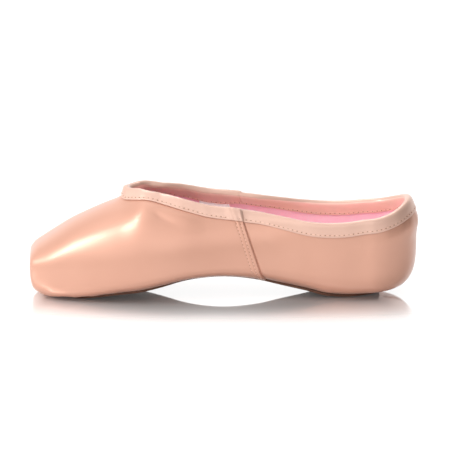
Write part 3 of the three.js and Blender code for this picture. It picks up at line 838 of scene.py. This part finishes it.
canvasLook = {
    "light": (0.74, 0.6, 0.46), "deep": (0.62, 0.47, 0.34), "toneScale": 70,
    "roughness": 0.85, "roughDrift": 0.05, "specular": 0.3, "sheen": 0.1, "metallic": 0, "coat": 0,
    "threads": 420, "across": 1, "weaveStrength": 0.6,
}
labelLook = {
    "light": (0.97, 0.95, 0.94), "deep": (0.93, 0.9, 0.89), "toneScale": 90,
    "roughness": 0.6, "roughDrift": 0.05, "specular": 0.4, "sheen": 0.1, "metallic": 0, "coat": 0,
    "threads": 1100, "across": 0.6, "weaveStrength": 0.3,
    "extra": {"Emission Color": (1, 0.93, 0.91, 1), "Emission Strength": 0.15},  # painted light: the label glows a little, to lift it out of the shade under the binding
}
threadLook = {
    "light": (0.82, 0.53, 0.41), "deep": (0.73, 0.46, 0.35), "toneScale": 150,
    "roughness": 0.45, "roughDrift": 0.05, "specular": 0.5, "sheen": 0.1, "metallic": 0, "coat": 0,
    "threads": 14, "across": 0.3, "weaveStrength": 0.4,
}
# painted shade: the dark colour stands for the shade down in the needle holes between the stitches
holeShadeLook = {
    "light": (0.39, 0.2, 0.14), "deep": (0.33, 0.16, 0.11), "toneScale": 150,
    "roughness": 0.9, "roughDrift": 0.05, "specular": 0.1, "sheen": 0, "metallic": 0, "coat": 0,
    "threads": 14, "across": 0.6, "weaveStrength": 0.4,
}
leatherLook = {
    "light": (0.17, 0.075, 0.04), "deep": (0.085, 0.035, 0.02), "toneScale": 120,
    "roughness": 0.6, "specular": 0.4, "grain": 900, "grainStrength": 0.5, "grainHeight": 0.00015,
}
satin = clothFinish("satin", satinLook)
tape = clothFinish("bindingTape", tapeLook)
tapeInsidePaintedLight = clothFinish("bindingInsidePaintedLight", tapeInsidePaintedLightLook)
lining = clothFinish("lining", liningLook)
canvas = clothFinish("insoleCanvas", canvasLook)
labelCloth = clothFinish("labelCloth", labelLook)
thread = clothFinish("thread", threadLook)
holeShade = clothFinish("needleHoleShade", holeShadeLook)


def makeLeather():
    look = leatherLook
    material, nodes, links, shader = newFinish(
        "soleLeather", look["light"], look["roughness"], look["specular"])
    place = nodes.new("ShaderNodeTexCoord")
    addTone(nodes, links, place, shader, look)
    grain = nodes.new("ShaderNodeTexVoronoi")
    grain.feature = "DISTANCE_TO_EDGE"
    grain.inputs["Scale"].default_value = look["grain"]
    links.new(place.outputs["Object"], grain.inputs["Vector"])
    addRelief(nodes, links, shader, grain.outputs["Distance"], look["grainStrength"], look["grainHeight"])
    return material


leather = makeLeather()


def dress(piece, *finishes):
    indexes = np.zeros(len(piece.data.polygons), np.int32)
    piece.data.polygons.foreach_get("material_index", indexes)
    piece.data.materials.clear()
    for finish in finishes:
        piece.data.materials.append(finish)
    piece.data.polygons.foreach_set("material_index", np.minimum(indexes, len(finishes) - 1))


dress(upperPiece, satin, lining)
dress(bindingPiece, tape, tapeInsidePaintedLight)
dress(solePiece, leather)
dress(boardPiece, canvas)
dress(labelPiece, labelCloth)
dress(tapeThread, thread)
dress(seamThread, thread)
dress(tapeHoleShade, holeShade)
dress(seamHoleShade, holeShade)
print("finishes ready")

# White sweep, lights and camera
studio = {
    "floorSize": 8, "floorCells": 4,
    "near": 0.03, "far": 0.085, "squeeze": (0.32, 1, 0),  # the mirror image fades in this zone
    # painted light: the floor glows, faintly near the shoe and more away from it, so the open floor reads
    # white
    "mirror": (0.64, 0), "gloss": (0.04, 0.4), "white": (0.95, 0.74), "glow": (0.03, 0.24),
    "skyFrom": (-0.85, -0.45, 0.28), "skyRange": (0, 0.88), "backdrop": 1.25, "backdropFrom": (0.3, 0.75),
    "stripFrom": (-0.9, -0.68, 0.62), "stripTo": (-0.62, -0.4, 0.95), "stripWidth": 0.1,
    "stripPower": 5,
    "edgeFrom": (-1.1, 0.15, 0.25), "edgeTo": (-0.95, -0.6, 0.58), "edgeWidth": 0.15,
    "edgePower": 2,
    "frontPlace": (-0.45, -1.55, 1), "frontSize": (1.2, 1.6), "frontPower": 4.2,
    "sidePlace": (0.5, -1.8, 0.75), "sideSize": (0.6, 1.2), "sidePower": 2,
    "backPlace": (-0.25, 1, 1.9), "backSize": (0.5, 0.8), "backPower": 9,
    "topPlace": (-0.3, -0.3, 2.2), "topSize": (2.2, 2.2), "topPower": 9,
    "aim": (-0.03, 0, 0.03),
}
view = {
    "elevation": math.radians(14.5), "away": 6, "centre": (0.0005, 0, 0.0407), "width": 0.2663, "sensor": 36,
}


def fadeNode(nodes, low, high, atLow, atHigh):
    fade = nodes.new("ShaderNodeMapRange")
    fade.interpolation_type = "SMOOTHSTEP"
    for socket, value in (("From Min", low), ("From Max", high), ("To Min", atLow), ("To Max", atHigh)):
        fade.inputs[socket].default_value = value
    return fade


def makeFloor():
    bpy.ops.object.select_all(action="DESELECT")
    cells = studio["floorCells"]
    bpy.ops.mesh.primitive_grid_add(x_subdivisions=cells, y_subdivisions=cells, size=studio["floorSize"])
    floor = bpy.context.object
    floor.name = "floor"
    material, nodes, links, shader = newFinish("floorWhite", (1, 1, 1), studio["gloss"][0])
    place = nodes.new("ShaderNodeTexCoord")
    squeeze = nodes.new("ShaderNodeVectorMath")
    squeeze.operation = "MULTIPLY"
    squeeze.inputs[1].default_value = studio["squeeze"]
    away = nodes.new("ShaderNodeVectorMath")
    away.operation = "LENGTH"
    links.new(place.outputs["Object"], squeeze.inputs[0])
    links.new(squeeze.outputs["Vector"], away.inputs[0])
    sockets = {"mirror": "Metallic", "gloss": "Roughness", "white": "Base Color", "glow": "Emission Color"}
    for kind, socket in sockets.items():
        fade = fadeNode(nodes, studio["near"], studio["far"], *studio[kind])
        links.new(away.outputs["Value"], fade.inputs["Value"])
        links.new(fade.outputs["Result"], shader.inputs[socket])
    # painted light: the floor's glow, masked by distance from the shoe
    shader.inputs["Emission Strength"].default_value = 1
    dress(floor, material)


def softbox(name, place, size, power, longAxis=(1, 0, 0)):
    bpy.ops.object.light_add(type="AREA", location=place)
    lamp = bpy.context.object
    lamp.name = name
    lamp.data.shape = "RECTANGLE"
    lamp.data.size, lamp.data.size_y = size
    lamp.data.energy = power
    backwards = (Vector(place) - Vector(studio["aim"])).normalized()
    short = Vector(longAxis).cross(backwards).normalized()
    lamp.rotation_mode = "QUATERNION"
    turn = Matrix((short, backwards.cross(short), backwards)).transposed()
    lamp.rotation_quaternion = turn.to_quaternion()


makeFloor()
world = bpy.data.worlds.new("studio")
bpy.context.scene.world = world
world.use_nodes = True
world.node_tree.nodes["Background"].inputs["Color"].default_value = (1, 1, 1, 1)
sky, wires = world.node_tree.nodes, world.node_tree.links
place, split, lean = (sky.new("ShaderNode" + kind) for kind in ("TexCoord", "SeparateXYZ", "VectorMath"))
lean.operation = "DOT_PRODUCT"
lean.inputs[1].default_value = Vector(studio["skyFrom"]).normalized()
wires.new(place.outputs["Generated"], lean.inputs[0])
wires.new(place.outputs["Generated"], split.inputs["Vector"])
slope = fadeNode(sky, -1, 1, *studio["skyRange"])
wires.new(lean.outputs["Value"], slope.inputs["Value"])
behind = fadeNode(sky, *studio["backdropFrom"], 0, studio["backdrop"])
wires.new(split.outputs["Y"], behind.inputs["Value"])
brightest = mathNode(sky, wires, "MAXIMUM", slope.outputs["Result"], behind.outputs["Result"])
wires.new(brightest, sky["Background"].inputs["Strength"])
for name in ("strip", "edge"):
    start, end = Vector(studio[name + "From"]), Vector(studio[name + "To"])
    size = (studio[name + "Width"], (end - start).length)
    softbox(name + "Light", (start + end) / 2, size, studio[name + "Power"], end - start)
for name in ("front", "side", "back", "top"):
    softbox(name + "Light", studio[name + "Place"], studio[name + "Size"], studio[name + "Power"])

towards = Vector((0, -math.cos(view["elevation"]), math.sin(view["elevation"])))
bpy.ops.object.camera_add(location=Vector(view["centre"]) + towards * view["away"])
camera = bpy.context.object
camera.rotation_mode = "QUATERNION"
camera.rotation_quaternion = (-towards).to_track_quat("-Z", "Y")
camera.data.sensor_width = view["sensor"]
camera.data.lens = view["sensor"] * view["away"] / view["width"]
bpy.context.scene.camera = camera
bpy.context.scene.view_settings.view_transform = "Standard"
print("studio ready")
